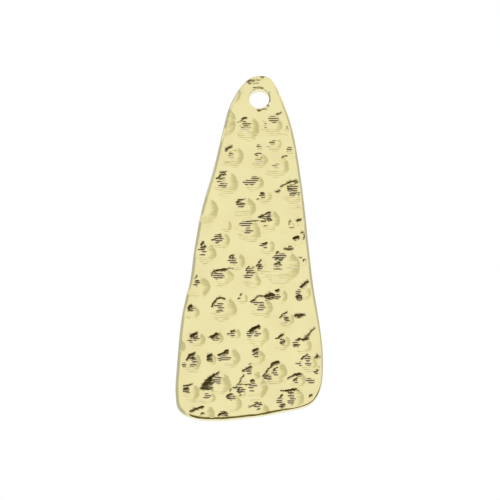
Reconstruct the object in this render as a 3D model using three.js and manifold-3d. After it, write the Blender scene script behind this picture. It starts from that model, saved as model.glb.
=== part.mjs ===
// A hammered triangle charm: one cast metal plate, long and narrow, with a hole at its pointed end.
// Millimetres. It hangs upright, +Z up, with the hammered face towards -Y and the plain back towards +Y.
// The origin is the centre of the hole, at the middle of the plate's thickness.
import * as THREE from "three";
import { mergeVertices } from "three/addons/utils/BufferGeometryUtils.js";
import Module from "manifold-3d";

const wasm = await Module();
wasm.setup();

// Driving sizes of the plate.
const plateLength = 48.3; // apex to lowest edge
const plateWidth = 20.1; // widest point on the left to widest point on the right
const plateThickness = 2;
const edgeRound = 0.5; // how far the worn outer edges are rounded on both faces

// The hole that the charm hangs by.
const holeDiameter = 2.8;
const holeBelowApex = 3.3; // apex to the hole's centre
const holeEase = 0.15; // chamfer that takes the burr off both rims
const holeSides = 28;

// Every hammer mark is a shallow round dish whose rim slopes alike, so a wider mark is also a deeper one.
const dishAngle = (16.7 * Math.PI) / 180;
const dishClearance = 0.4; // how far a cutting cap stands proud of the front face

// The outline is drawn on squared paper, which is stretched to the plate's size.
// A point is [squares right of the hole's centre line, squares down from the apex].
const squaresLong = 483;
const squaresWide = 201;
const squareWidth = plateWidth / squaresWide;
const squareHeight = plateLength / squaresLong;

const rightOutline = [
  [4, 0],
  [14.3, 3],
  [19.5, 8.5],
  [25.8, 19.5],
  [32.1, 33],
  [42.4, 62],
  [49.4, 91],
  [59.8, 161],
  [68.6, 246],
  [74.3, 297],
  [79.4, 330],
  [85.2, 372],
  [87, 402],
  [84.5, 436],
  [77.2, 453],
  [67, 462.3],
  [35, 470.7],
];

const leftOutline = [
  [-6, 478.3],
  [-60, 483],
  [-94, 479],
  [-109.7, 468.5],
  [-113.8, 448],
  [-112.1, 407],
  [-106.6, 346],
  [-101, 316],
  [-94.5, 289],
  [-89, 246],
  [-79.3, 191],
  [-62.5, 131],
  [-49.9, 76.5],
  [-42.7, 48],
  [-31, 23.5],
  [-17.3, 7.5],
  [-8, 1.5],
];

// The hammer marks were measured on a picture of the plate, taken a little from below.
// Its columns and rows are numbered, and they cover slightly fewer squares towards the foot of the plate.
const holeColumn = 259;
const apexRow = 75.35;
const squaresPerColumn = 1.384;
const squaresPerRow = 1.433;
const shrinkPerRow = 0.000057;

// Each mark is [column, row, radius in columns].
const marks = [
  [247, 129, 13],
  [273, 126, 10],
  [275, 145, 7],
  [224, 126, 12],
  [233, 157, 11],
  [259, 161, 9],
  [260, 147.5, 3.5],
  [277, 167, 12],
  [291, 151, 5],
  [226, 184, 12.5],
  [254, 183, 9.5],
  [287, 129, 4],
  [293, 193, 12.5],
  [265, 197, 7],
  [244, 208, 11.5],
  [206, 211, 12.5],
  [268, 221, 12],
  [249, 231, 12.5],
  [226, 226, 6],
  [220, 241, 9.5],
  [206, 253, 11],
  [267, 247, 8],
  [291, 226, 4],
  [300, 223, 4.5],
  [298, 241, 6.5],
  [305, 239, 5],
  [236, 262, 9.5],
  [304, 262, 4.5],
  [282, 268, 18],
  [262, 268, 7.5],
  [251, 272, 7],
  [252, 281, 9],
  [223, 277, 10.5],
  [198, 287, 12],
  [191, 312, 8],
  [223, 309, 13],
  [243, 299, 5.5],
  [261, 308, 11.5],
  [278, 297, 9],
  [303, 293, 8],
  [286, 320, 8],
  [197, 340, 8.5],
  [216, 338, 7],
  [234, 334, 6.5],
  [257, 336, 12],
  [281, 343, 9],
  [303, 347, 9],
  [191, 362, 10],
  [211, 360, 6],
  [228, 358, 11.5],
  [256, 357, 9],
  [308, 363, 9],
  [318, 359, 3.5],
  [175, 346, 10],
  [275, 372, 12.5],
  [251, 377, 9],
  [256, 388, 12],
  [219, 384, 12],
  [208, 397, 8],
  [190, 393, 9],
  [233, 397, 7],
  [241, 393, 6],
  [232, 404, 10],
  [297, 380, 9],
  [311, 381, 4.5],
  [320, 371, 5],
  [291, 399, 13],
  [311, 396, 3],
  [203, 415, 11],
  [224, 419, 7],
  [259, 411, 10],
];

// How finely the curves are stepped.
const outlineSteps = 96;
const edgeSteps = 3;
const markFacet = 0.7; // about how long a facet of a mark is, round its rim and down its side
const fewestMarkSides = 9;

// The real place of a point of the outline's drawing, across and up from the hole's centre.
function placed([across, down]) {
  return new THREE.Vector2(across * squareWidth, holeBelowApex - down * squareHeight);
}

// The real place of a point of the picture, on the front face.
function measured(column, row) {
  const rowsDown = row - apexRow;
  const shrink = 1 - shrinkPerRow * rowsDown;
  return placed([(column - holeColumn) * squaresPerColumn * shrink, rowsDown * squaresPerRow * shrink]);
}

// A closed three.js geometry as a solid that can be cut.
function solidOf(geometry) {
  geometry.deleteAttribute("normal");
  geometry.deleteAttribute("uv");
  const merged = mergeVertices(geometry);
  const mesh = new wasm.Mesh({
    numProp: 3,
    vertProperties: merged.attributes.position.array,
    triVerts: new Uint32Array(merged.index.array),
  });
  return new wasm.Manifold(mesh);
}

// A finished solid as flat-shaded geometry.
function geometryOf(solid) {
  const mesh = solid.getMesh();
  const indexed = new THREE.BufferGeometry();
  indexed.setAttribute("position", new THREE.BufferAttribute(mesh.vertProperties, 3));
  indexed.setIndex(new THREE.BufferAttribute(mesh.triVerts, 1));
  const geometry = indexed.toNonIndexed();
  geometry.computeVertexNormals();
  return geometry;
}

// The smooth line round the plate, at its full width.
function outlineShape() {
  const corners = [...rightOutline, ...leftOutline].map(placed);
  const loop = new THREE.CatmullRomCurve3(
    corners.map((p) => new THREE.Vector3(p.x, p.y, 0)),
    true,
    "centripetal",
  );
  const points = loop.getSpacedPoints(outlineSteps).slice(0, -1);
  return new THREE.Shape(points.map((p) => new THREE.Vector2(p.x, p.y)));
}

// The plate before it is pierced and hammered, with its edges rounded on both faces.
function blankPlate() {
  const geometry = new THREE.ExtrudeGeometry(outlineShape(), {
    depth: plateThickness - 2 * edgeRound,
    bevelEnabled: true,
    bevelThickness: edgeRound,
    bevelSize: edgeRound,
    bevelOffset: -edgeRound,
    bevelSegments: edgeSteps,
  });
  geometry.translate(0, 0, edgeRound - plateThickness / 2);
  geometry.rotateX(Math.PI / 2);
  return solidOf(geometry);
}

// The drill for the hole: a straight bore that flares at both faces by the ease of its rims.
function holeCutter() {
  const bore = holeDiameter / 2;
  const face = plateThickness / 2;
  const past = face + holeEase;
  const flare = bore + 2 * holeEase;
  const profile = [
    new THREE.Vector2(0, -past),
    new THREE.Vector2(flare, -past),
    new THREE.Vector2(bore, holeEase - face),
    new THREE.Vector2(bore, face - holeEase),
    new THREE.Vector2(flare, past),
    new THREE.Vector2(0, past),
  ];
  return solidOf(new THREE.LatheGeometry(profile, holeSides));
}

// The cap of a ball that cuts a dish of the given radius into the front face, with its axis along Y.
function dishCap(markRadius) {
  const ballRadius = markRadius / Math.sin(dishAngle);
  const centreOut = ballRadius * Math.cos(dishAngle);
  const widestAngle = Math.acos((centreOut - dishClearance) / ballRadius);
  const rings = Math.ceil((ballRadius * widestAngle) / markFacet);
  const sides = Math.max(fewestMarkSides, Math.round((2 * Math.PI * markRadius) / markFacet));
  const profile = [new THREE.Vector2(0, -dishClearance)];
  for (let ring = rings; ring > 0; ring -= 1) {
    const angle = (widestAngle * ring) / rings;
    const out = ballRadius * Math.sin(angle);
    profile.push(new THREE.Vector2(out, ballRadius * Math.cos(angle) - centreOut));
  }
  profile.push(new THREE.Vector2(0, ballRadius - centreOut));
  return new THREE.LatheGeometry(profile, sides);
}

// All the marks, as solids to cut away from the front face.
// Each is turned by its own number of radians, so that the facets of neighbours don't line up.
function hammerMarks() {
  return marks.map(([column, row, columns], index) => {
    const at = measured(column, row);
    const cap = dishCap(columns * squaresPerColumn * squareWidth);
    cap.rotateY(index);
    cap.translate(at.x, -plateThickness / 2, at.y);
    return solidOf(cap);
  });
}

function hammeredPlate() {
  const cuts = [holeCutter(), ...hammerMarks()];
  return cuts.reduce((plate, cut) => plate.subtract(cut), blankPlate());
}

const plateMetal = new THREE.MeshStandardMaterial({
  color: 0xe9dfa6,
  roughness: 0.25,
  metalness: 1,
});

const plate = new THREE.Mesh(geometryOf(hammeredPlate()), plateMetal);
plate.name = "hammered_plate";

const charm = new THREE.Group();
charm.add(plate);

export default charm;
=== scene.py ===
"""A hammered triangle charm of pale gold plated metal, hanging upright in a plain white studio."""

import math

import bpy
import numpy as np
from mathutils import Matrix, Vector
from mathutils.geometry import delaunay_2d_cdt


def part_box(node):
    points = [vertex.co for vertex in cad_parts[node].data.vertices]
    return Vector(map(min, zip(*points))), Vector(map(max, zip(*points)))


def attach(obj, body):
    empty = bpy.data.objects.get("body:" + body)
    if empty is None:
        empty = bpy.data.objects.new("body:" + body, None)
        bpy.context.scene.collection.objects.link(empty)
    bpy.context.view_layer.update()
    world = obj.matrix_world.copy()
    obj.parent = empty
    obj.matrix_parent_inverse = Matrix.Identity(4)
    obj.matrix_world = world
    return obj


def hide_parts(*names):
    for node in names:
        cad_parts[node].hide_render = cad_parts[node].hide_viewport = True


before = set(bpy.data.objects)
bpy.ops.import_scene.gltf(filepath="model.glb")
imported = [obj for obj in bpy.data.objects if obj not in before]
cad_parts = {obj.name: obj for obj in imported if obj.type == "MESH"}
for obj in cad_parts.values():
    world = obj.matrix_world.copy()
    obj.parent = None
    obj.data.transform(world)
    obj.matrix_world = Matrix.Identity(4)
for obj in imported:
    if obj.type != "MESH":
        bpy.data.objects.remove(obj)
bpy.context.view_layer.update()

MM = 0.001

# The plate, from the frame: the origin is the hole's centre at mid thickness, and -Y is the hammered side.
PLATE = "hammered_plate"
low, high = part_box(PLATE)
PLATE_LENGTH = (high.z - low.z) / MM
PLATE_WIDTH = (high.x - low.x) / MM
PLATE_THICKNESS = (high.y - low.y) / MM
HOLE_BELOW_APEX = high.z / MM

# Sizes in millimetres that the frame doesn't give. The hole's rim has its full ease in the direction of
# the angle, counted from +X towards +Z. A quarter turn away it loses this share, and opposite, twice that.
EDGE_ROUND = 0.5
HOLE_RADIUS = 1.4
HOLE_EASE = 0.15
HOLE_WEAR_ANGLE = math.radians(50)
HOLE_WEAR_LOSS = 0.35

# The squared paper that the outline is drawn on, ten squares to a millimetre: squares right of the
# hole's centre line, and squares down from the apex.
SQUARES_LONG = 483
SQUARES_WIDE = 201
SQUARE_WIDTH = PLATE_WIDTH / SQUARES_WIDE
SQUARE_HEIGHT = PLATE_LENGTH / SQUARES_LONG

OUTLINE = [
    (4, 0),
    (14.3, 3),
    (19.5, 8.5),
    (25.8, 19.5),
    (32.1, 33),
    (42.4, 62),
    (49.4, 91),
    (59.8, 161),
    (68.6, 246),
    (74.3, 297),
    (79.4, 330),
    (85.2, 372),
    (87, 402),
    (84.5, 436),
    (77.2, 453),
    (67, 462.3),
    (35, 470.7),
    (-6, 478.3),
    (-60, 483),
    (-94, 479),
    (-109.7, 468.5),
    (-113.8, 448),
    (-112.1, 407),
    (-106.6, 346),
    (-101, 316),
    (-94.5, 289),
    (-89, 246),
    (-79.3, 191),
    (-62.5, 131),
    (-49.9, 76.5),
    (-42.7, 48),
    (-31, 23.5),
    (-17.3, 7.5),
    (-8, 1.5),
]

# The marks were measured on a picture of the plate, taken a little from below. Its columns and rows are
# numbered, and they cover slightly fewer squares towards the foot of the plate.
HOLE_COLUMN = 259
APEX_ROW = 75.35
SQUARES_PER_COLUMN = 1.384
SQUARES_PER_ROW = 1.433
SHRINK_PER_ROW = 0.000057
COLUMN_WIDTH = SQUARES_PER_COLUMN * SQUARE_WIDTH

# Each mark, the dish that a blow left, as (column, row, radius in columns). The first two, on the left
# shoulder, are too faint for the CAD.
MARKS = [
    (230, 95, 11),
    (227, 117, 8.5),
    (247, 129, 13),
    (273, 126, 10),
    (275, 145, 7),
    (224, 126, 12),
    (233, 157, 11),
    (259, 161, 9),
    (260, 147.5, 3.5),
    (277, 167, 12),
    (291, 151, 5),
    (226, 184, 12.5),
    (254, 183, 9.5),
    (287, 129, 4),
    (293, 193, 12.5),
    (265, 197, 7),
    (244, 208, 11.5),
    (206, 211, 12.5),
    (268, 221, 12),
    (249, 231, 12.5),
    (226, 226, 6),
    (220, 241, 9.5),
    (206, 253, 11),
    (267, 247, 8),
    (291, 226, 4),
    (300, 223, 4.5),
    (298, 241, 6.5),
    (305, 239, 5),
    (236, 262, 9.5),
    (304, 262, 4.5),
    (282, 268, 18),
    (262, 268, 7.5),
    (251, 272, 7),
    (252, 281, 9),
    (223, 277, 10.5),
    (198, 287, 12),
    (191, 312, 8),
    (223, 309, 13),
    (243, 299, 5.5),
    (261, 308, 11.5),
    (278, 297, 9),
    (303, 293, 8),
    (286, 320, 8),
    (197, 340, 8.5),
    (216, 338, 7),
    (234, 334, 6.5),
    (257, 336, 12),
    (281, 343, 9),
    (303, 347, 9),
    (191, 362, 10),
    (211, 360, 6),
    (228, 358, 11.5),
    (256, 357, 9),
    (308, 363, 9),
    (318, 359, 3.5),
    (175, 346, 10),
    (275, 372, 12.5),
    (251, 377, 9),
    (256, 388, 12),
    (219, 384, 12),
    (208, 397, 8),
    (190, 393, 9),
    (233, 397, 7),
    (241, 393, 6),
    (232, 404, 10),
    (297, 380, 9),
    (311, 381, 4.5),
    (320, 371, 5),
    (291, 399, 13),
    (311, 396, 3),
    (203, 415, 11),
    (224, 419, 7),
    (259, 411, 10),
]

# Each cut, where the hammer's edge bit, as its width in columns and the (column, row) of its bends, from
# left to right.
CUTS = [
    (3.0, (246.2, 82), (253.4, 80.8)),
    (1.2, (253, 80.4), (259, 78.9)),
    (1.3, (258, 79.2), (265, 77.2)),
    (1.5, (260.5, 77.1), (265, 76.5)),
    (0.9, (256, 80.8), (260, 80.2)),
    (0.9, (253.5, 84), (258.5, 83.4)),
    (0.9, (248, 84.6), (252, 83.8)),
    (1.3, (253.5, 88.4), (259, 87.7), (264, 88.4)),
    (0.8, (268.8, 103), (269.6, 98), (268.6, 93)),
    (1.8, (256.5, 110.8), (261, 110.1)),
    (1.5, (261.8, 109.9), (264.4, 109.4)),
    (1.8, (267, 106.2), (269.8, 105.4)),
    (2.2, (242, 119.2), (247.5, 117.9)),
    (1.2, (240, 121.7), (243, 119.8)),
    (1.7, (276, 114.4), (281, 113.6)),
    (1.3, (281, 158.4), (284, 157.2), (287.5, 156)),
    (2.2, (225.4, 151.4), (228.8, 148.2)),
    (2.2, (228.5, 148.2), (232, 146.8)),
    (1.2, (228, 153.9), (231.5, 153.5)),
    (1.2, (254, 154.8), (257, 153.2), (260.5, 153.8)),
    (1.8, (220, 172.9), (227, 172.4)),
    (1.9, (216.5, 178.8), (221, 175.2), (226, 174.3)),
    (1.2, (217, 179), (225, 178.2)),
    (1.7, (281, 187.2), (286, 184.3), (291, 181.8), (297, 180.8)),
    (2.0, (294.5, 183.6), (299, 182.2)),
    (1.8, (287.5, 187), (291.5, 186.2)),
    (1.9, (287.5, 190), (292, 189.4)),
    (2.0, (276, 192.5), (279.5, 191)),
    (1.9, (260, 194.3), (264.5, 193.2)),
    (1.2, (256, 200), (259, 199)),
    (2.0, (236, 202.8), (240.5, 201)),
    (1.6, (238, 200.2), (245, 199.6)),
    (1.8, (239, 204.4), (244, 203.6)),
    (1.3, (258.5, 218.3), (262.5, 214.7)),
    (2.2, (260, 217.8), (264, 215.8)),
    (2.1, (265.5, 213.8), (270.5, 212.3)),
    (1.6, (267, 216.7), (271, 216.2)),
    (2.2, (268, 220.2), (271.7, 219.4)),
    (1.6, (261, 221.6), (266, 220.8)),
    (1.1, (251, 221.6), (260, 221.2)),
    (1.1, (288.8, 225.4), (289.8, 222.2), (292, 221.2)),
    (2.2, (296.5, 221.2), (301, 219.8)),
    (3.2, (293.5, 239.4), (298.5, 237.2)),
    (1.6, (301, 233.7), (303.5, 232.8)),
    (1.5, (303, 240.5), (304.6, 234.5)),
    (2.2, (284, 249.6), (292.5, 248.8)),
    (1.4, (287, 247.4), (291, 246.8)),
    (1.2, (299.3, 258.6), (301.2, 258)),
    (1.4, (303, 261.8), (304.6, 258.8)),
    (1.4, (217, 235), (221.5, 234.5)),
    (1.3, (215.5, 242.6), (219, 241.4)),
    (1.1, (218, 238.4), (221.5, 236.4)),
    (1.2, (215, 237), (218, 235.6)),
    (1.7, (212, 240.5), (216, 238.8)),
    (2.3, (200.5, 246.2), (204.5, 241.8)),
    (2.2, (200, 248), (205.3, 246)),
    (2.4, (262.5, 244.6), (266.5, 242.6)),
    (1.5, (229.3, 259.2), (231, 256.4), (234.5, 255)),
    (1.8, (231, 258.6), (234, 257.4)),
    (1.4, (211.2, 277), (212.2, 273.5), (215, 271)),
    (2.2, (213.5, 271.8), (219, 270.4), (226, 269.6)),
    (1.2, (226, 268.9), (233, 268.3)),
    (1.2, (245.5, 270.8), (246.6, 268.4), (248.6, 267)),
    (1.2, (252, 268), (254, 266.4)),
    (1.5, (246.5, 272.6), (251.5, 272)),
    (1.8, (258.5, 262.8), (261, 260.6)),
    (1.8, (256.5, 266.8), (258.4, 264)),
    (2.0, (258.5, 267.6), (261, 265.6)),
    (2.0, (275.5, 253.4), (278, 252)),
    (2.2, (275, 258.8), (278.8, 257.4)),
    (1.8, (280, 261), (282.2, 258)),
    (2.2, (276, 263.8), (280, 262.6)),
    (1.3, (195, 278.4), (196.6, 275.8)),
    (1.2, (194, 282), (198, 280.6)),
    (1.3, (194.5, 284.8), (198, 284)),
    (1.2, (239.8, 296), (241.6, 293.4)),
    (1.3, (237.5, 299.4), (240.6, 298.2)),
    (2.8, (300.5, 287.6), (304, 284.6), (307.6, 282.2)),
    (4.6, (296.6, 298.6), (301, 296)),
    (4.4, (265, 297), (273.6, 294.8)),
    (2.4, (267.5, 299.2), (274, 297.6)),
    (1.2, (274, 298.4), (279.5, 298)),
    (2.6, (276, 291.3), (279.8, 290.3)),
    (1.8, (211.5, 307.2), (214, 302), (217.5, 298.8), (221, 298), (225.5, 299.4)),
    (1.6, (250.6, 302.5), (254.5, 299.2), (259, 296.8), (263.5, 296.4)),
    (1.0, (264.5, 300.6), (270, 300.1)),
    (1.5, (279, 318.2), (283, 314.2), (287.5, 312.4)),
    (2.0, (284, 319.6), (287.2, 318)),
    (3.4, (294.5, 316), (303.5, 315.8)),
    (3.0, (187.6, 309.2), (191.6, 305)),
    (1.3, (187, 311), (190.6, 310.6)),
    (3.4, (190.5, 337.2), (196.8, 333.6)),
    (2.2, (193, 338), (197.6, 336.8)),
    (3.8, (211, 337.8), (217.6, 334.2)),
    (1.3, (208.8, 337.6), (212, 337.2)),
    (1.9, (230, 332.2), (234, 330.4)),
    (1.1, (227, 334.7), (231, 332.9)),
    (3.6, (249.8, 332), (254, 328.6), (258.8, 326.6)),
    (1.4, (275, 338.9), (279, 337.4)),
    (2.4, (278, 337.8), (284, 334.6)),
    (2.6, (280.6, 343.6), (284, 341)),
    (2.0, (296, 341), (301, 338.9)),
    (2.4, (301, 340), (309.5, 339)),
    (2.4, (306, 338.4), (309.6, 334)),
    (1.5, (309, 334.4), (314.8, 327.6)),
    (1.6, (293, 346), (298.6, 345)),
    (2.8, (188, 356), (194.8, 353.6)),
    (2.4, (186.5, 360), (190.4, 356.8)),
    (2.0, (189, 359), (195, 358.2)),
    (3.2, (207.6, 358), (211.4, 355.2)),
    (2.4, (207, 360.2), (212, 359)),
    (2.6, (222.6, 353.4), (227.8, 350.2)),
    (2.0, (218, 355.2), (223, 353.6), (228.5, 353)),
    (3.0, (252, 351.6), (257.6, 349)),
    (2.2, (254.6, 353.6), (257.4, 352.2)),
    (1.6, (301, 359.4), (304.6, 357), (308, 354.6)),
    (2.8, (315, 357.8), (318, 355.8)),
    (1.8, (264, 376), (268, 369.4), (271, 365.4)),
    (2.5, (270.6, 365.6), (274.4, 363.2), (278.6, 362.4)),
    (1.8, (274, 370.6), (276.4, 367.4)),
    (2.0, (263, 376.6), (268.4, 375.2)),
    (1.2, (268, 379.6), (272, 378.8)),
    (2.2, (242.6, 372), (246.4, 368.8), (251, 366.8)),
    (1.3, (248.6, 364.6), (250.4, 363.2)),
    (1.5, (247, 371.4), (251, 370)),
    (3.2, (250.4, 382.2), (253.8, 380)),
    (1.3, (238, 385.6), (240.6, 380.2), (243.4, 374.8)),
    (1.0, (236, 385.3), (244, 384.9), (252, 384.6)),
    (5.6, (203.5, 387.4), (207.4, 382.8), (211.6, 378.4)),
    (3.0, (210, 379.2), (214.4, 374.6)),
    (1.8, (214, 374.8), (218.6, 372.8)),
    (3.6, (201, 389), (212.6, 388.8)),
    (3.4, (204.4, 386), (212, 383)),
    (2.4, (203, 389.8), (211, 388.2)),
    (2.6, (206, 386.6), (211.6, 384.4)),
    (1.6, (184, 386.6), (188, 385.4), (192, 384.6)),
    (2.8, (183.6, 389.6), (188.6, 388)),
    (1.4, (183, 391.8), (188.6, 391.4)),
    (1.8, (233, 388.4), (237.6, 387)),
    (1.4, (229.6, 391.6), (231.4, 389)),
    (2.2, (225.6, 397.4), (232.4, 393.8)),
    (1.6, (237, 392.2), (239.4, 388.6)),
    (1.6, (238.4, 393), (241.6, 391)),
    (1.4, (239.4, 396.2), (242.4, 394.4)),
    (1.1, (249.6, 407.2), (253, 405), (256, 404.6)),
    (1.6, (256, 404), (261, 402.8)),
    (1.3, (257, 409.8), (260.4, 408.4)),
    (1.5, (281, 391.4), (286, 390.6)),
    (2.3, (285.6, 391.2), (291, 390), (297, 389.4)),
    (2.0, (288.6, 393.2), (293.2, 392.6)),
    (2.0, (278.6, 398.6), (283.4, 394.4)),
    (2.8, (281, 408.2), (284.4, 404)),
    (1.6, (287.4, 379.2), (290, 376.6), (295, 375.2)),
    (2.6, (294, 375), (301.5, 373.8)),
    (1.8, (294, 380.6), (297.6, 377.8)),
    (2.0, (309, 396.6), (311.6, 395)),
    (1.4, (314.8, 373.4), (317.8, 370.2)),
    (1.2, (318, 367.6), (319.6, 366.6)),
    (2.2, (190.6, 411.8), (196, 409), (203, 406.8)),
    (1.8, (200.5, 413.6), (203.6, 412.8)),
    (2.8, (218.6, 415.2), (222.6, 413.6), (226.8, 412.8)),
]

# Each patch of strong fine steps, as (column, row, half its columns, half its rows). The row is the
# middle of a shaded step.
STEPPED = [
    (273.5, 118.5, 5.5, 5),
    (244.5, 125.5, 6, 6),
    (264, 125.5, 1.5, 5),
    (287.5, 128.5, 2, 3),
    (273.5, 142.5, 3, 3),
    (260, 146.5, 2.5, 2.8),
    (268.5, 146.5, 2.5, 1),
    (289.5, 149.5, 3.8, 3.4),
    (258, 159.5, 3.5, 5.5),
    (231, 155.5, 2.5, 4.5),
    (276.5, 165.5, 3.5, 3),
    (222.5, 183.5, 5, 4.5),
    (253, 180.5, 5, 5),
    (246.5, 182.5, 2.5, 3.5),
    (292.5, 188.5, 5.5, 5),
    (297.5, 190.5, 1.5, 6),
    (291.5, 193.5, 3.5, 2.5),
    (263, 195.5, 3, 3),
    (240.5, 204.5, 4, 3.5),
    (266, 216.5, 6, 4),
    (267, 225.5, 2.5, 1),
    (249, 223.5, 3.8, 4),
    (246, 223.5, 7, 2.5),
    (248.5, 230.5, 4, 3),
    (291, 227.5, 2.2, 1.2),
    (217.5, 238.5, 4.5, 4.5),
    (202.5, 249.5, 3.8, 3),
    (202.5, 254.5, 3.4, 1.2),
    (264, 245.5, 3, 3),
    (232.5, 260.5, 4.5, 3.8),
    (250, 270.5, 4.5, 3.5),
    (248.5, 275.5, 4, 3),
    (259.5, 266.5, 3, 4.5),
    (277, 257.5, 4.6, 4),
    (276, 264.5, 4.5, 2),
    (281, 255.5, 5, 2.8),
    (276, 268.5, 5, 1),
    (218.5, 275.5, 7, 4),
    (196, 282.5, 2.5, 4),
    (299, 291.5, 2.8, 2.8),
    (299, 297.5, 3, 3.5),
    (278, 296.5, 3, 3),
    (219.5, 305.5, 4, 4),
    (219.5, 310.5, 3.8, 1.8),
    (260.5, 307.5, 4, 3.6),
    (260.5, 302.5, 4.5, 1.5),
    (254.5, 302.5, 2.5, 2.5),
    (285.5, 317.5, 2.8, 2.5),
    (285.5, 320.5, 3, 2.6),
    (189.5, 308.5, 3, 3.5),
    (195, 338.5, 4.5, 2),
    (190, 340.5, 2.5, 2.2),
    (215, 338.5, 4.5, 2),
    (231.5, 333.5, 3, 3),
    (256.5, 333.5, 3, 3.5),
    (249, 333.5, 3.5, 4),
    (282.5, 341.5, 2.4, 4),
    (296.5, 344.5, 4, 3.5),
    (193, 359.5, 3.2, 3.2),
    (193, 364.5, 3.2, 2.4),
    (184.5, 364.5, 2.5, 2.6),
    (210, 359.5, 2.8, 2.6),
    (224.5, 357.5, 5.8, 3.2),
    (219.5, 358.5, 1.8, 2.6),
    (255, 354.5, 3, 3),
    (307.5, 358.5, 3, 3.5),
    (307.5, 363.5, 3.4, 2.4),
    (298.5, 363.5, 2, 2.6),
    (275, 372.5, 3, 3.5),
    (267, 376.5, 4, 3),
    (248.5, 371.5, 3, 3),
    (252, 385.5, 3.4, 3),
    (251, 390.5, 2.8, 1),
    (217.5, 379.5, 4, 4.5),
    (207, 395.5, 3.4, 3),
    (187, 390.5, 3.4, 3),
    (230, 396.5, 4.8, 3.5),
    (240, 389.5, 4.5, 3.5),
    (258, 404.5, 4, 3),
    (292, 400.5, 3.4, 4.5),
    (292, 395.5, 3.4, 2.5),
    (281, 402.5, 3.4, 5),
    (295.5, 380.5, 3, 2.5),
    (310, 380.5, 3.8, 3),
    (202, 413.5, 2.2, 1.5),
    (223, 413.5, 4.8, 3),
    (316.5, 371.5, 2.2, 3),
]

# Each patch where the steps are fainter, measured the same way.
FAINT = [
    (256, 81.5, 9, 4),
    (239, 93, 4, 5),
    (229, 120, 6, 8),
    (227, 136, 5, 1.6),
    (244, 138.6, 5, 2.2),
    (251, 142, 3.5, 1.6),
    (247, 132, 7, 3.5),
    (279, 123, 5, 5),
    (283, 134, 8, 2.2),
    (232, 165, 9, 3.2),
    (235, 149.5, 3, 2.5),
    (259, 168.6, 11, 1.4),
    (271, 174.2, 14, 2.4),
    (283, 160, 5, 1.4),
    (262, 158, 6, 6),
    (295, 158.6, 4, 1.2),
    (220, 194, 7, 2.4),
    (229, 190, 4, 4),
    (206, 219.6, 7, 1.2),
    (206, 224.4, 9, 3),
    (243, 211.5, 6, 4.5),
    (262, 206.4, 7, 2.6),
    (287, 197, 8, 2.4),
    (291, 206.8, 10, 3),
    (275, 231, 5, 3),
    (230, 234.6, 4, 1),
    (250, 239, 9, 4.5),
    (240, 229, 5, 3),
    (226, 246, 4, 1.4),
    (206, 262.4, 6, 3.4),
    (278, 277, 15, 8),
    (288, 264, 8, 6),
    (251, 284, 6, 4.4),
    (225, 285, 7, 2.6),
    (222, 317.4, 9, 4),
    (228, 306, 4, 5),
    (262, 316, 10, 3),
    (192, 296, 4, 1.6),
    (233, 362, 7, 3.4),
    (206, 357, 6, 1.2),
    (199, 370, 9, 3.6),
    (238, 386, 5, 1.6),
    (273, 381.6, 9, 3.2),
    (254, 400, 8, 2.4),
    (231, 401, 6, 3),
    (300, 392, 7, 5),
    (197, 402, 8, 2.4),
    (262, 385, 5, 5),
]

# The fine steps of the brushed marks. They are counted in rows of the picture, and patches of them come
# a row late. The pitch and the heights are in millimetres, and slopes are rise over run.
STEP_ROWS = 2
FIRST_SHADED_ROW = 0.2
STEP_PITCH = 0.28
STEP_SLOPE = 0.6
LINE_SLOPE = 0.26
FAINT_STEP_SLOPE = 0.17

# Each row of steps is broken and slipped sideways by noise of its own. A step shows where its presence
# and the noise add up to more than nothing.
ROW_CELL = 0.999
STEP_NOISE = 0.9
STRONG_PRESENCE = 1.45
STRONG_CELL = 0.6
FAINT_PRESENCE = 0.6
FAINT_CELL = 1.1
STRONG_SLIP = 0.3
FAINT_SLIP = 0.9
SLIP_RATE = 0.37
PATCH_EDGE = (-0.08, 0.18)

# The steps are softer near the apex, above the first of these heights from the hole's centre.
SOFT_STEP_HEIGHTS = (-13, -9)
SOFT_STEP_LOSS = 0.3

# The dishes of the marks: slopes as rise over run, and sizes in millimetres.
BOWL_SLOPE = 0.3
RIDGE_SOFTNESS = 0.012
RUN_OUT_SOFTNESS = 0.04
MARK_WANDER = 0.11
MARK_WANDER_CELL = 1.1
MARK_JAG = 0.07
MARK_JAG_CELLS = (1.4, 0.22)

# The shape of one dish, in shares of its radius: past its border it has no effect, and its lower part, the
# foot, reaches further down and runs out softly towards the lower right.
MARK_BORDER = 1.6
FOOT_FROM, FOOT_TO = 0.1, 0.8
FOOT_STRETCH = 0.2
RUN_OUT_LEAN = 0.7
RUN_OUT_EDGE = (-0.1, 0.9)
FAINT_RIM = (-0.12, 0.1)
FAINT_TOP = (-0.1, 0.4)

# The cuts: slopes as rise over run, and sizes in millimetres or in shares of half a cut's width.
CUT_SLOPE = 0.55
CUT_WALL_SLOPE = 0.8
CUT_NARROWING = 0.88
CUT_LEAN = 0.3
CUT_RISE = 0.07
CUT_WANDER = 0.07
CUT_WANDER_CELL = 0.3
CUT_SLIP = 0.12
CUT_SLIP_RATE = 0.5
CUT_OVERRUN = 0.4
STRAIGHT_BLUNTNESS = 2.5
BENT_BLUNTNESS = 4

# The painted shade on the metal: how deep a cut is once its falling slope is fully darkened, and between
# which places on a step the painted shade grows, where 0.5 is the middle of the shaded flank. A step in a
# cut loses this share of its height.
FULL_SHADE_DEPTH = 0.015
GROOVE_EDGE = (0.2, 0.5)
STEP_LOSS_IN_CUT = 0.6

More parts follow.
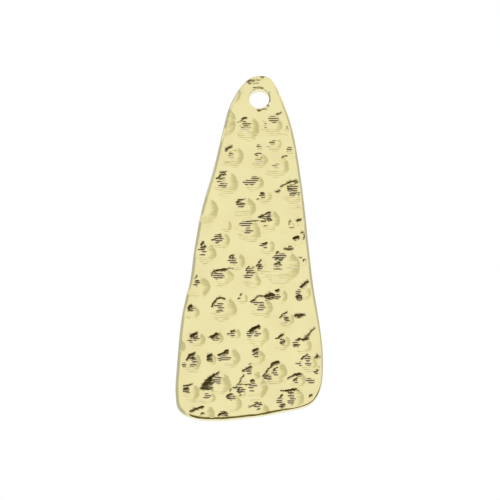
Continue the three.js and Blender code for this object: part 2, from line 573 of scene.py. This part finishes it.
# The rest of the relief, in millimetres: slow and quick waves, file lines round the apex, and wear.
SLOW_WAVE, SLOW_WAVE_CELL = 0.006, 2.6
QUICK_WAVE, QUICK_WAVE_CELLS = 0.002, (0.7, 0.5)
FILED_HEIGHTS = (1.2, 2.4)
FILED_SLANT = 0.3
FILE_LINE_DEPTH = 0.014
FILE_LINE_CELLS = (0.8, 0.11)
FILE_LINE_LEAN = 0.5
FRONT_WEAR = 0.05
OUTLINE_WEAR = 0.01
BACK_WEAR, BACK_WEAR_CELL = 0.01, 3
SIDE_WEAR, SIDE_WEAR_CELLS = 0.015, (1.2, 0.5)

# The edge is rounded less at the lower right corner and at the apex: shares of the round that are lost,
# and the places in millimetres from the hole's centre between which the loss grows.
CORNER_LOSS = 0.45
CORNER_ACROSS = (2, 6)
CORNER_DOWN = (27, 35)
APEX_LOSS = 0.55
APEX_UP = (0.5, 2.2)

# How finely the plate is meshed, in millimetres, in degrees or in counts.
CURVE_POINTS = 200
RIM_STEP = 0.16
MARK_STEP = 0.1
ROWS_PER_STEP = 4
PLAIN_EVERY = 4
BACK_STEP = 0.45
WALL_ROWS = 5
HOLE_SIDES = 96
ROUND_ANGLES = [0, 15, 30, 42, 52, 60, 67, 73, 79, 84, 90]
RIM_CLEARANCE = 0.04
SAME_POINT = 1e-7
SHARP_ANGLE = 15

# The mesh is fine where the relief is deeper or steeper than this, and above this height.
LEAST_DEPTH = 0.0005
LEAST_SLOPE = 0.001
FINE_ABOVE = 1.4

NOISE_CELLS = 256
POINTS_AT_ONCE = 4000


def placed(across, down):
    """The real place, across and up from the hole's centre in millimetres, of a point of the drawing."""
    return np.array([across * SQUARE_WIDTH, HOLE_BELOW_APEX - down * SQUARE_HEIGHT])


def measured(column, row):
    """The real place of a point of the picture on the plate's front face."""
    rows_down = row - APEX_ROW
    shrink = 1 - SHRINK_PER_ROW * rows_down
    across = (column - HOLE_COLUMN) * SQUARES_PER_COLUMN * shrink
    return placed(across, rows_down * SQUARES_PER_ROW * shrink)


def picture_row(z):
    """The row of the picture that a height on the plate falls on."""
    rows = (HOLE_BELOW_APEX - z) / (SQUARE_HEIGHT * SQUARES_PER_ROW)
    return APEX_ROW + (1 - np.sqrt(1 - 4 * SHRINK_PER_ROW * rows)) / (2 * SHRINK_PER_ROW)


def lattice_noise(x, z, cell_x, cell_z, seed):
    """Smooth noise from -1 to 1 with cells of the given size, the same on every run."""
    table = np.random.RandomState(seed).uniform(-1, 1, (NOISE_CELLS, NOISE_CELLS))
    u, v = x / cell_x, z / cell_z
    i, j = np.floor(u).astype(int), np.floor(v).astype(int)
    fu, fv = u - i, v - j
    fu, fv = fu * fu * (3 - 2 * fu), fv * fv * (3 - 2 * fv)
    left, right = i % NOISE_CELLS, (i + 1) % NOISE_CELLS
    lower, upper = j % NOISE_CELLS, (j + 1) % NOISE_CELLS
    near = table[left, lower] * (1 - fu) + table[right, lower] * fu
    far = table[left, upper] * (1 - fu) + table[right, upper] * fu
    return near * (1 - fv) + far * fv


def ragged(x, z, amount, cell, seed):
    """The same places, shifted a little by noise, so that edges aren't drawn too neatly."""
    shift_x = amount * lattice_noise(x, z, cell, cell, seed)
    shift_z = amount * lattice_noise(x, z, cell, cell, seed + 1)
    return x + shift_x, z + shift_z


def smooth_step(x, low_edge, high_edge):
    """From 0 at the low edge to 1 at the high edge, with a soft start and end."""
    t = np.clip((x - low_edge) / (high_edge - low_edge), 0, 1)
    return t * t * (3 - 2 * t)


def soft_max(a, b, softness):
    """The larger of two heights, with the crease between them rounded."""
    blend = np.clip(0.5 + 0.5 * (a - b) / softness, 0, 1)
    return b + (a - b) * blend + softness * blend * (1 - blend)


def curve_points(p0, p1, p2, p3):
    """Points along a centripetal Catmull-Rom curve from p1 to p2, between the neighbours p0 and p3."""
    g0, g1, g2 = (math.sqrt(np.linalg.norm(b - a)) for a, b in ((p0, p1), (p1, p2), (p2, p3)))
    m1 = g1 * ((p1 - p0) / g0 - (p2 - p0) / (g0 + g1) + (p2 - p1) / g1)
    m2 = g1 * ((p2 - p1) / g1 - (p3 - p1) / (g1 + g2) + (p3 - p2) / g2)
    for t in np.linspace(0, 1, CURVE_POINTS, endpoint=False):
        yield (
            p1 * (2 * t**3 - 3 * t**2 + 1)
            + m1 * (t**3 - 2 * t**2 + t)
            + p2 * (3 * t**2 - 2 * t**3)
            + m2 * (t**3 - t**2)
        )


def outline_curve():
    """The smooth closed outline as evenly spaced points, with the direction into the plate at each."""
    corners = [placed(*p) for p in OUTLINE]
    count = len(corners)
    dense = []
    for k in range(count):
        dense.extend(curve_points(*(corners[(k + s) % count] for s in (-1, 0, 1, 2))))
    dense = np.array(dense + dense[:1])
    run = np.concatenate([[0], np.cumsum(np.linalg.norm(np.diff(dense, axis=0), axis=1))])
    steps = np.linspace(0, run[-1], round(run[-1] / RIM_STEP), endpoint=False)
    points = np.stack([np.interp(steps, run, dense[:, c]) for c in (0, 1)], axis=1)
    along = np.roll(points, -1, axis=0) - np.roll(points, 1, axis=0)
    inward = np.stack([along[:, 1], -along[:, 0]], axis=1)
    inward /= np.linalg.norm(inward, axis=1)[:, None]
    return points + inward * OUTLINE_WEAR, inward


def step_number(z, late=0):
    """Which step a height on the plate falls on: a whole number is the middle of a shaded flank.

    The steps of some patches come a row later than the rest.
    """
    return (picture_row(z) - FIRST_SHADED_ROW - late) / STEP_ROWS


def hammer_marks(x, z):
    """How deep the marks' dishes are at each place, and how steep the faint steps in them are."""
    wx, wz = ragged(x, z, MARK_WANDER, MARK_WANDER_CELL, 3)
    wx = wx + MARK_JAG * lattice_noise(x, z, *MARK_JAG_CELLS, 5)
    depth = np.zeros_like(x)
    steps = np.zeros_like(x)
    for column, row, columns in MARKS:
        cx, cz = measured(column, row)
        radius = columns * COLUMN_WIDTH
        dx, dz = (wx - cx) / radius, (wz - cz) / radius
        near = np.hypot(dx, dz) < MARK_BORDER
        dx, dz = dx[near], dz[near]
        foot = smooth_step(-dz, FOOT_FROM, FOOT_TO)
        reach = np.hypot(dx, dz * (1 - FOOT_STRETCH * foot))
        dish = (1 - reach**2) * (1 - foot + foot * np.clip(1 - reach**2, 0, 1))
        bite = 0.5 * BOWL_SLOPE * radius * np.where(reach < 1, dish, 1 - reach**2)
        run_out = smooth_step(RUN_OUT_LEAN * dx - dz, *RUN_OUT_EDGE)
        depth[near] = soft_max(depth[near], bite, RIDGE_SOFTNESS + RUN_OUT_SOFTNESS * run_out)
        faint = smooth_step(1 - reach, *FAINT_RIM) * smooth_step(-dz, *FAINT_TOP) * FAINT_STEP_SLOPE
        steps[near] = np.maximum(steps[near], faint)
    return depth, steps


def patches(x, z, places, slip):
    """How far inside the patches each place is, from 0 to 1, with every row of steps slipped sideways."""
    share = np.zeros_like(x)
    for column, middle_row, half_columns, half_rows in places:
        cx, cz = measured(column, middle_row)
        dx = (x + slip - cx) / (half_columns * COLUMN_WIDTH)
        dz = (z - cz) / (half_rows * COLUMN_WIDTH)
        share = np.maximum(share, smooth_step(1 - np.hypot(dx, dz), *PATCH_EDGE))
    return share


def row_slip(x, row, amount):
    """How far each row of steps is slipped sideways."""
    return amount * lattice_noise(row, SLIP_RATE * x, ROW_CELL, 1, 61)


def row_presence(x, row, presence, cell, seed):
    """How much of each row of steps is there, from 0 to 1."""
    return np.clip(presence + STEP_NOISE * lattice_noise(x, row, cell, ROW_CELL, seed), 0, 1)


def step_slopes(x, z, faint):
    """How steep the fine steps are at each place, strong in ragged patches and faint over the marks.

    Where it is less than zero, the steps come a row late.
    """
    row = np.round(step_number(z))
    lines = LINE_SLOPE * patches(x, z, FAINT, row_slip(x, row, FAINT_SLIP))
    slopes = np.maximum(faint, lines) * row_presence(x, row, FAINT_PRESENCE, FAINT_CELL, 13)
    softened = 1 - SOFT_STEP_LOSS * smooth_step(z, *SOFT_STEP_HEIGHTS)
    for late in (0, 1):
        row = np.round(step_number(z, late))
        places = [patch for patch in STEPPED if math.floor(patch[1]) % STEP_ROWS == late]
        there = row_presence(x, row, STRONG_PRESENCE, STRONG_CELL, 11)
        strong = STEP_SLOPE * there * patches(x, z, places, row_slip(x, row, STRONG_SLIP)) * softened
        slopes = np.where(strong > np.abs(slopes), strong * (1 - 2 * late), slopes)
    return slopes


def cut_depth(x, z):
    """How deep the cuts are, and how much painted shade darkens their falling slopes, from 0 to 1.

    Each cut falls away towards its lower right side, and rises again past it.
    """
    wx, wz = ragged(x, z, CUT_WANDER, CUT_WANDER_CELL, 7)
    row = np.round(step_number(z))
    wx = wx + CUT_SLIP * lattice_noise(row, CUT_SLIP_RATE * x, ROW_CELL, 1, 71)
    wz = wz - CUT_RISE
    depth = np.zeros_like(x)
    painted_shade = np.zeros_like(x)
    for columns, *bends in CUTS:
        half_width = columns * CUT_NARROWING * COLUMN_WIDTH / 2
        bluntness = BENT_BLUNTNESS if len(bends) > 2 else STRAIGHT_BLUNTNESS
        ends = [measured(*bend) for bend in bends]
        for a, b in zip(ends, ends[1:]):
            middle, along = (a + b) / 2, b - a
            half = np.linalg.norm(along) / 2
            along /= 2 * half
            across = np.array([along[1], -along[0]])
            dx, dz = wx - middle[0], wz - middle[1]
            u = (dx * along[0] + dz * along[1]) / (half + CUT_OVERRUN * half_width)
            v = (dx * across[0] + dz * across[1]) / half_width + CUT_LEAN
            edge = np.clip(1 - np.abs(u) ** bluntness, 0, 1) ** (1 / bluntness)
            fall = (v + edge) * half_width * CUT_SLOPE
            far_edge = edge * (1 + 2 * CUT_SLOPE / CUT_WALL_SLOPE)
            rise = (far_edge - v) * half_width * CUT_WALL_SLOPE
            bite = np.where(np.abs(u) < 1, np.minimum(fall, rise), 0)
            # Painted shade: a cut's falling slope is darkened in colour, fully once it is this deep.
            dark = np.where(fall < rise, smooth_step(bite, 0, FULL_SHADE_DEPTH), 0)
            painted_shade = np.maximum(painted_shade, dark)
            depth = np.maximum(depth, bite)
    return depth, painted_shade


def front_relief(x, z):
    """The front face at each place: its depth, how steep the fine steps are, and how much painted shade
    darkens it.
    """
    marks, faint = hammer_marks(x, z)
    slopes = step_slopes(x, z, faint)
    cuts, dark = cut_depth(x, z)
    wave = 1 - 4 * np.abs((step_number(z) + 0.25) % 1 - 0.5)
    terraces = wave * slopes * STEP_PITCH / 4 * (1 - STEP_LOSS_IN_CUT * dark)
    waves = SLOW_WAVE * lattice_noise(x, z, SLOW_WAVE_CELL, SLOW_WAVE_CELL, 21)
    waves = waves + QUICK_WAVE * lattice_noise(x, z, *QUICK_WAVE_CELLS, 22)
    filed = FILE_LINE_DEPTH * (1 - dark) * smooth_step(z - FILED_SLANT * x, *FILED_HEIGHTS)
    leaning_x, leaning_z = x + FILE_LINE_LEAN * z, z - FILED_SLANT * x
    file_lines = filed * lattice_noise(leaning_x, leaning_z, *FILE_LINE_CELLS, 31)
    off_groove = np.abs((step_number(z) + np.where(slopes < 0, 0.5, 0)) % 1 - 0.5)
    steepness = smooth_step(np.abs(slopes), FAINT_STEP_SLOPE, STEP_SLOPE)
    # Painted shade also darkens the middle of the steps' shaded flanks.
    painted_shade = np.maximum(dark, smooth_step(off_groove, *GROOVE_EDGE) * steepness)
    return marks + cuts + terraces + waves + file_lines + FRONT_WEAR, np.abs(slopes), painted_shade


def edge_rounds(outline):
    """How far the edge is rounded at each point of the outline."""
    corner = smooth_step(outline[:, 0], *CORNER_ACROSS) * smooth_step(-outline[:, 1], *CORNER_DOWN)
    apex = smooth_step(outline[:, 1], *APEX_UP)
    return EDGE_ROUND * (1 - CORNER_LOSS * corner - APEX_LOSS * apex)


def ring_profile(radius):
    """Steps round a quarter circle: how far in from the wall, and how far below the face, each lies."""
    return [(radius * (1 - math.cos(a)), radius * (1 - math.sin(a))) for a in np.radians(ROUND_ANGLES)]


def inside_plate(points, outline, inward, margin):
    """Which points lie further than the margin inside the outline."""
    keep = np.zeros(len(points), bool)
    for start in range(0, len(points), POINTS_AT_ONCE):
        part = points[start : start + POINTS_AT_ONCE]
        gaps = ((part[:, None, :] - outline[None, :, :]) ** 2).sum(axis=2)
        nearest = gaps.argmin(axis=1)
        toward = part - outline[nearest]
        within = (toward * inward[nearest]).sum(axis=1) > 0
        keep[start : start + POINTS_AT_ONCE] = within & (gaps.min(axis=1) > margin**2)
    return keep


def face_sheet(outline, inward, grid):
    """One face of the plate seen flat: its points, triangles, drops below the face and two rim loops."""
    count = len(outline)
    points = []
    drops = []
    loops = []
    for inset, drop in ring_profile(edge_rounds(outline)):
        loops.append(range(len(points), len(points) + count))
        points.extend(outline + inward * inset[:, None])
        drops.extend(drop)
    angles = np.arange(HOLE_SIDES) * 2 * math.pi / HOLE_SIDES
    circle = np.stack([np.cos(angles), np.sin(angles)], axis=1)
    hole_ease = HOLE_EASE * (1 - HOLE_WEAR_LOSS * (1 - np.cos(angles - HOLE_WEAR_ANGLE)))
    for inset, drop in ring_profile(hole_ease):
        loops.append(range(len(points), len(points) + HOLE_SIDES))
        points.extend(circle * (HOLE_RADIUS + inset[:, None]))
        drops.extend(drop)
    clear = inside_plate(grid, outline, inward, EDGE_ROUND + RIM_CLEARANCE)
    clear &= np.linalg.norm(grid, axis=1) > HOLE_RADIUS + HOLE_EASE + RIM_CLEARANCE
    points.extend(grid[clear])
    drops.extend([0] * int(clear.sum()))
    edges = [(loop[k], loop[(k + 1) % len(loop)]) for loop in loops for k in range(len(loop))]
    flat = np.array(points)
    made = delaunay_2d_cdt([Vector(p) for p in flat], edges, [], 1, SAME_POINT, False)
    if len(made[0]) != len(flat):
        raise ValueError("the face's points run into each other")
    faces = np.array(made[2])
    # Where the outline is hollow, triangles between its own points lie outside the plate.
    faces = faces[(faces >= count).any(axis=1)]
    # The triangles across the hole go too.
    from_centre = np.linalg.norm(flat[faces].mean(axis=1), axis=1)
    faces = faces[from_centre > HOLE_RADIUS * math.cos(math.pi / HOLE_SIDES)]
    return flat, faces, np.array(drops), loops[0], loops[len(ROUND_ANGLES)]


def back_grid(outline):
    """Evenly spaced points over the back."""
    lowest, highest = outline.min(axis=0), outline.max(axis=0)
    x, z = np.meshgrid(*(np.arange(a, b, BACK_STEP) for a, b in zip(lowest, highest)))
    return np.stack([x.ravel(), z.ravel()], axis=1)


def front_grid(outline):
    """Points over the front: fine in the marks and cuts and at the filed top, and sparse elsewhere."""
    lowest, highest = outline.min(axis=0), outline.max(axis=0)
    first = math.floor(step_number(highest[1]) * ROWS_PER_STEP)
    last = math.ceil(step_number(lowest[1]) * ROWS_PER_STEP)
    down = np.arange(first, last)
    heights = measured(HOLE_COLUMN, FIRST_SHADED_ROW + down * STEP_ROWS / ROWS_PER_STEP)[1]
    across = np.arange(math.floor(lowest[0] / MARK_STEP), highest[0] / MARK_STEP)
    x, z = (side.ravel() for side in np.meshgrid(across * MARK_STEP, heights))
    column, row = (side.ravel() for side in np.meshgrid(across, down))
    marks, faint = hammer_marks(x, z)
    steep = np.abs(step_slopes(x, z, faint)) > LEAST_SLOPE
    busy = (marks > LEAST_DEPTH) | steep | (cut_depth(x, z)[0] > 0) | (z > FINE_ABOVE)
    sparse = (column % PLAIN_EVERY == 0) & (row % PLAIN_EVERY == 0)
    return np.stack([x, z], axis=1)[busy | sparse]


def wall(points, faces, front_loop, back_loop, flip, wear):
    """Joins a loop of the front to the same loop of the back with rows of quads."""
    count = len(front_loop)
    front = np.array([points[k] for k in front_loop])
    back = np.array([points[k] for k in back_loop])
    rows = [list(front_loop)]
    for row in range(1, WALL_ROWS):
        share = row / WALL_ROWS
        middle = front * (1 - share) + back * share
        rows.append(list(range(len(points), len(points) + count)))
        points.extend(middle + wear(middle))
    rows.append(list(back_loop))
    for upper, lower in zip(rows, rows[1:]):
        for k in range(count):
            n = (k + 1) % count
            quad = [upper[k], lower[k], lower[n], upper[n]]
            faces.append(quad[::-1] if flip else quad)


def plate_mesh():
    """The whole plate as one closed mesh."""
    outline, inward = outline_curve()
    half = PLATE_THICKNESS / 2
    flat, faces, drops, rim, bore = face_sheet(outline, inward, front_grid(outline))
    relief, slopes, painted_shade = front_relief(flat[:, 0], flat[:, 1])
    front = np.stack([flat[:, 0], drops + relief - half, flat[:, 1]], axis=1)
    points = list(front)
    all_faces = [list(f) for f in faces]

    flat, faces, drops, back_rim, back_bore = face_sheet(outline, inward, back_grid(outline))
    start = len(points)
    worn = BACK_WEAR * (1 + lattice_noise(flat[:, 0], flat[:, 1], BACK_WEAR_CELL, BACK_WEAR_CELL, 41))
    sunk = soft_max(drops, worn, RIDGE_SOFTNESS)
    points.extend(np.stack([flat[:, 0], half - sunk, flat[:, 1]], axis=1))
    all_faces.extend([[int(start + k) for k in f[::-1]] for f in faces])

    middle = outline.mean(axis=0)

    def side_wear(at):
        lean = at[:, [0, 2]] - middle
        lean /= np.linalg.norm(lean, axis=1)[:, None]
        amount = SIDE_WEAR * (1 + lattice_noise(at[:, 2], at[:, 1], *SIDE_WEAR_CELLS, 51))
        return np.stack([-lean[:, 0] * amount, 0 * amount, -lean[:, 1] * amount], axis=1)

    wall(points, all_faces, rim, [start + k for k in back_rim], False, side_wear)
    wall(points, all_faces, bore, [start + k for k in back_bore], False, lambda at: 0 * at)
    mesh = bpy.data.meshes.new("charm_plate")
    mesh.from_pydata([Vector(p) * MM for p in points], [], [[int(k) for k in f] for f in all_faces])
    mesh.validate()
    # Shares for the painted highlight over the steps and for the painted shade, kept on the front's points.
    stepped = smooth_step(slopes, FAINT_STEP_SLOPE, STEP_SLOPE)
    for name, share in (("stepped", stepped), ("painted_shade", painted_shade)):
        values = np.zeros(len(points))
        values[: len(front)] = share
        mesh.attributes.new(name, "FLOAT", "POINT").data.foreach_set("value", values)
    return mesh


class Nodes:
    """A material's or world's node tree, with short calls to add and link nodes."""

    def __init__(self, owner):
        owner.use_nodes = True
        self.tree = owner.node_tree
        self.tree.nodes.clear()

    def add(self, kind, **settings):
        node = self.tree.nodes.new(kind)
        for key, value in settings.items():
            setattr(node, key, value)
        return node

    def link(self, source, target):
        self.tree.links.new(source, target)

    def feed(self, socket, value):
        """Sets a socket to a number or a colour, or links it to another node's output."""
        if isinstance(value, tuple):
            socket.default_value = (*value, 1)
        elif isinstance(value, (int, float)):
            socket.default_value = value
        else:
            self.link(value, socket)

    def math(self, operation, a, b):
        node = self.add("ShaderNodeMath", operation=operation)
        self.feed(node.inputs[0], a)
        self.feed(node.inputs[1], b)
        return node.outputs[0]

    def noise(self, vector, scale, detail):
        node = self.add("ShaderNodeTexNoise")
        self.link(vector, node.inputs["Vector"])
        node.inputs["Scale"].default_value = scale
        node.inputs["Detail"].default_value = detail
        node.inputs["Roughness"].default_value = NOISE_ROUGHNESS
        return node.outputs["Fac"]

    def stretched(self, vector, scale):
        node = self.add("ShaderNodeMapping")
        self.link(vector, node.inputs["Vector"])
        node.inputs["Scale"].default_value = scale
        return node.outputs["Vector"]

    def attribute(self, name, output):
        return self.add("ShaderNodeAttribute", attribute_name=name).outputs[output]

    def ramp(self, value, stops):
        node = self.add("ShaderNodeValToRGB")
        self.link(value, node.inputs["Fac"])
        ramp = node.color_ramp
        while len(ramp.elements) < len(stops):
            ramp.elements.new(0.5)
        for element, (position, color) in zip(ramp.elements, stops):
            element.position = position
            element.color = (*color, 1)
        return node.outputs["Color"]

    def mix(self, factor, a, b):
        node = self.add("ShaderNodeMix", data_type="RGBA", blend_type="MIX")
        self.feed(node.inputs[0], factor)
        self.feed(node.inputs[6], a)
        self.feed(node.inputs[7], b)
        return node.outputs[2]

    def end(self, kind, output):
        """Ends the tree in an output node of the given kind."""
        self.link(output, self.add(kind).inputs["Surface"])


# The metal's colours, and the scales of its noises in features to a metre.
PALE_GOLD = (0.85, 0.77, 0.417)
DEEP_GOLD = (0.83, 0.745, 0.397)
WORN_GOLD = (0.862, 0.788, 0.432)
# Painted highlight: a paler, silvery tone that stands in for glare on the fine steps.
HIGHLIGHT_PAINT = (0.80, 0.73, 0.60)
# Painted shade: the dark tone put on the cuts' falling slopes and the steps' shaded flanks.
SHADE_PAINT = (0.215, 0.185, 0.1)
GOLD_SHADES = [(0.35, DEEP_GOLD), (0.5, PALE_GOLD), (0.68, WORN_GOLD)]
HIGHLIGHT_SHARE = 0.5
CLOUD_SCALE = 260
HAZE_SCALE = 900
BRUSH_SCALES = (900, 2500, 9000)
NOISE_ROUGHNESS = 0.55
NOISE_DETAIL = 3
CLOUD_DETAIL = 4
LEAST_ROUGHNESS = 0.05
ROUGHNESS_SPREAD = 0.06
BUMP_STRENGTH = 0.12
BUMP_HEIGHT = 0.00001


def gold_material():
    """Pale gold plating, with a paler painted highlight over the fine steps, and painted shade on the cuts'
    falling slopes and the steps' shaded flanks.
    """
    material = bpy.data.materials.new("pale_gold_plating")
    n = Nodes(material)
    place = n.add("ShaderNodeTexCoord").outputs["Object"]
    clouds = n.noise(place, CLOUD_SCALE, CLOUD_DETAIL)
    color = n.ramp(clouds, GOLD_SHADES)
    # Painted highlight: the fine steps are paled towards a silvery tone.
    painted_highlight = n.math("MULTIPLY", n.attribute("stepped", "Fac"), HIGHLIGHT_SHARE)
    color = n.mix(painted_highlight, color, HIGHLIGHT_PAINT)
    # Painted shade: the colour is darkened towards its dark tone.
    color = n.mix(n.attribute("painted_shade", "Fac"), color, SHADE_PAINT)
    lines = n.noise(n.stretched(place, BRUSH_SCALES), 1, NOISE_DETAIL)
    haze = n.noise(place, HAZE_SCALE, NOISE_DETAIL)
    rough_haze = n.math("MULTIPLY", haze, ROUGHNESS_SPREAD)
    rough_lines = n.math("MULTIPLY", lines, ROUGHNESS_SPREAD)
    roughness = n.math("ADD", n.math("ADD", rough_haze, rough_lines), LEAST_ROUGHNESS)
    bump = n.add("ShaderNodeBump")
    bump.inputs["Strength"].default_value = BUMP_STRENGTH
    bump.inputs["Distance"].default_value = BUMP_HEIGHT
    n.link(lines, bump.inputs["Height"])
    shader = n.add("ShaderNodeBsdfPrincipled")
    shader.inputs["Metallic"].default_value = 1.0
    n.link(color, shader.inputs["Base Color"])
    n.link(roughness, shader.inputs["Roughness"])
    n.link(bump.outputs["Normal"], shader.inputs["Normal"])
    n.end("ShaderNodeOutputMaterial", shader.outputs["BSDF"])
    return material


def in_scene(name, data):
    """A new object of the scene."""
    thing = bpy.data.objects.new(name, data)
    bpy.context.scene.collection.objects.link(thing)
    return thing


def make_plate():
    """The dressed plate, which stands in for the CAD's."""
    mesh = plate_mesh()
    plate = in_scene("charm_plate", mesh)
    mesh.materials.append(gold_material())
    mesh.shade_smooth()
    mesh.set_sharp_from_angle(angle=math.radians(SHARP_ANGLE))
    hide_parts(PLATE)
    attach(plate, "root")


# The studio: an all-white surround, a pale floor, and eight cards that only the metal sees.
# The camera looks at the middle of the picture, from below the plate's normal by its elevation in degrees.
AIM = Vector((-1.25, -1.0, -21.47)) * MM
CAMERA_DISTANCE = 500 * MM
CAMERA_ELEVATION = -12.5
MM_PER_PIXEL = 0.137
IMAGE_SIZE = 500
SENSOR_WIDTH = 36
NEAREST_SEEN = 0.01
FURTHEST_SEEN = 20

WHITE = (1.0, 1.0, 1.0)
SURROUND_LIGHT = (0.9, 0.9, 0.9)
FLOOR_BELOW = 450 * MM
FLOOR_HALF_SIZE = 3.0
FLOOR_SHADES = [(0.3, (0.86, 0.86, 0.86)), (0.7, (0.9, 0.9, 0.9))]
FLOOR_NOISE_SCALE = 30
FLOOR_ROUGHNESS = 0.9

CARD_DISTANCE = 380 * MM
CARD_RINGS = 24
CARD_SPOKES = 48
DARK = (0.25, 0.215, 0.112)
KHAKI = (1.0, 0.995, 0.87)
BLUISH = (0.96, 1.0, 1.16)


def direction(azimuth, elevation):
    """A unit vector from the charm, with azimuth 0 towards the camera's side and positive to the right."""
    a, e = math.radians(azimuth), math.radians(elevation)
    return Vector((math.sin(a) * math.cos(e), -math.cos(a) * math.cos(e), math.sin(e)))


def make_camera():
    """The camera of the picture."""
    data = bpy.data.cameras.new("camera")
    data.sensor_width = SENSOR_WIDTH
    data.lens = SENSOR_WIDTH * (CAMERA_DISTANCE / MM) / (MM_PER_PIXEL * IMAGE_SIZE)
    data.clip_start = NEAREST_SEEN
    data.clip_end = FURTHEST_SEEN
    camera = in_scene("camera", data)
    back = direction(0, CAMERA_ELEVATION)
    camera.location = AIM + back * CAMERA_DISTANCE
    camera.rotation_euler = (-back).to_track_quat("-Z", "Y").to_euler()
    bpy.context.scene.camera = camera


def make_flag(name, inner, outer, start, end, tint, level, edge_level=None, fade=0):
    """A curved card that shows only in reflections, part of a ring round the flat metal's own reflection.

    Angles are in degrees. A slope of s degrees on the plate shows what lies 2 s out from the ring's middle,
    and start and end run clockwise round the ring from straight up, as the charm's front side is seen.
    The card is as bright as its level. With a fade, it begins at the edge level, and it comes to its own
    level that many degrees further out.
    """
    axis = direction(0, -CAMERA_ELEVATION)
    side = Vector((1, 0, 0))
    upward = axis.cross(side)
    points, shades, faces = [], [], []
    for ring in range(CARD_RINGS + 1):
        out = inner + (outer - inner) * ring / CARD_RINGS
        shade = level
        if fade:
            shade = edge_level + (level - edge_level) * min(1, (out - inner) / fade)
        for spoke in range(CARD_SPOKES + 1):
            around = math.radians(start + (end - start) * spoke / CARD_SPOKES)
            sideways = side * math.sin(around) + upward * math.cos(around)
            toward = axis * math.cos(math.radians(out)) + sideways * math.sin(math.radians(out))
            points.append(AIM + toward * CARD_DISTANCE)
            shades.extend((*[shade * part for part in tint], 1))
    for ring in range(CARD_RINGS):
        for spoke in range(CARD_SPOKES):
            k = ring * (CARD_SPOKES + 1) + spoke
            faces.append((k, k + 1, k + CARD_SPOKES + 2, k + CARD_SPOKES + 1))
    mesh = bpy.data.meshes.new(name)
    mesh.from_pydata(points, [], faces)
    mesh.attributes.new("shade", "FLOAT_COLOR", "POINT").data.foreach_set("color", shades)
    material = bpy.data.materials.new(name)
    n = Nodes(material)
    glow = n.add("ShaderNodeEmission")
    n.link(n.attribute("shade", "Color"), glow.inputs["Color"])
    n.end("ShaderNodeOutputMaterial", glow.outputs["Emission"])
    mesh.materials.append(material)
    flag = in_scene(name, mesh)
    flag.visible_camera = False
    flag.visible_shadow = False
    flag.visible_diffuse = False


def make_flags():
    """The dark cards shade the cuts and steps, the khaki ones the dishes, and the bluish ones the edges."""
    make_flag("dark_quarter", 44, 80, 102, 205, DARK, 1, 5, 6)
    make_flag("darker_edge", 80, 115, 102, 205, DARK, 0.3)
    make_flag("left_flag", 14, 40, 212, 320, KHAKI, 0.68, 0.98, 12)
    make_flag("left_edge_flag", 40, 150, 212, 298, BLUISH, 0.6)
    make_flag("shoulder_flag", 90, 150, 298, 345, BLUISH, 0.62)
    make_flag("right_flag", 36, 62, 55, 98, KHAKI, 0.66, 0.8, 6)
    make_flag("right_edge_flag", 62, 150, 55, 98, BLUISH, 0.6)
    make_flag("top_flag", 24, 42, -38, 50, KHAKI, 0.68, 0.98, 12)


def make_world():
    """A surround that is plain white where it is seen or mirrored, and a little dimmer as a light."""
    world = bpy.data.worlds.new("white_surround")
    bpy.context.scene.world = world
    n = Nodes(world)
    rays = n.add("ShaderNodeLightPath")
    seen = n.math("MAXIMUM", rays.outputs["Is Camera Ray"], rays.outputs["Is Glossy Ray"])
    seen = n.math("MAXIMUM", seen, rays.outputs["Is Transmission Ray"])
    background = n.add("ShaderNodeBackground")
    n.link(n.mix(seen, SURROUND_LIGHT, WHITE), background.inputs["Color"])
    n.end("ShaderNodeOutputWorld", background.outputs["Background"])


def make_floor():
    """A pale floor far below the charm, which the metal mirrors as plain white."""
    mesh = bpy.data.meshes.new("floor")
    size = FLOOR_HALF_SIZE
    corners = [(-size, -size, 0), (size, -size, 0), (size, size, 0), (-size, size, 0)]
    mesh.from_pydata(corners, [], [[0, 1, 2, 3]])
    floor = in_scene("floor", mesh)
    floor.location = (0, 0, -FLOOR_BELOW)
    material = bpy.data.materials.new("pale_floor")
    n = Nodes(material)
    shader = n.add("ShaderNodeBsdfPrincipled")
    place = n.add("ShaderNodeTexCoord").outputs["Object"]
    shade = n.ramp(n.noise(place, FLOOR_NOISE_SCALE, NOISE_DETAIL), FLOOR_SHADES)
    n.link(shade, shader.inputs["Base Color"])
    shader.inputs["Roughness"].default_value = FLOOR_ROUGHNESS
    white = n.add("ShaderNodeEmission")
    rays = n.add("ShaderNodeLightPath")
    mirrored = n.math("MAXIMUM", rays.outputs["Is Glossy Ray"], rays.outputs["Is Transmission Ray"])
    choice = n.add("ShaderNodeMixShader")
    n.link(mirrored, choice.inputs[0])
    n.link(shader.outputs["BSDF"], choice.inputs[1])
    n.link(white.outputs["Emission"], choice.inputs[2])
    n.end("ShaderNodeOutputMaterial", choice.outputs["Shader"])
    mesh.materials.append(material)


bpy.context.scene.view_settings.view_transform = "Standard"
make_camera()
make_world()
make_floor()
make_flags()
make_plate()
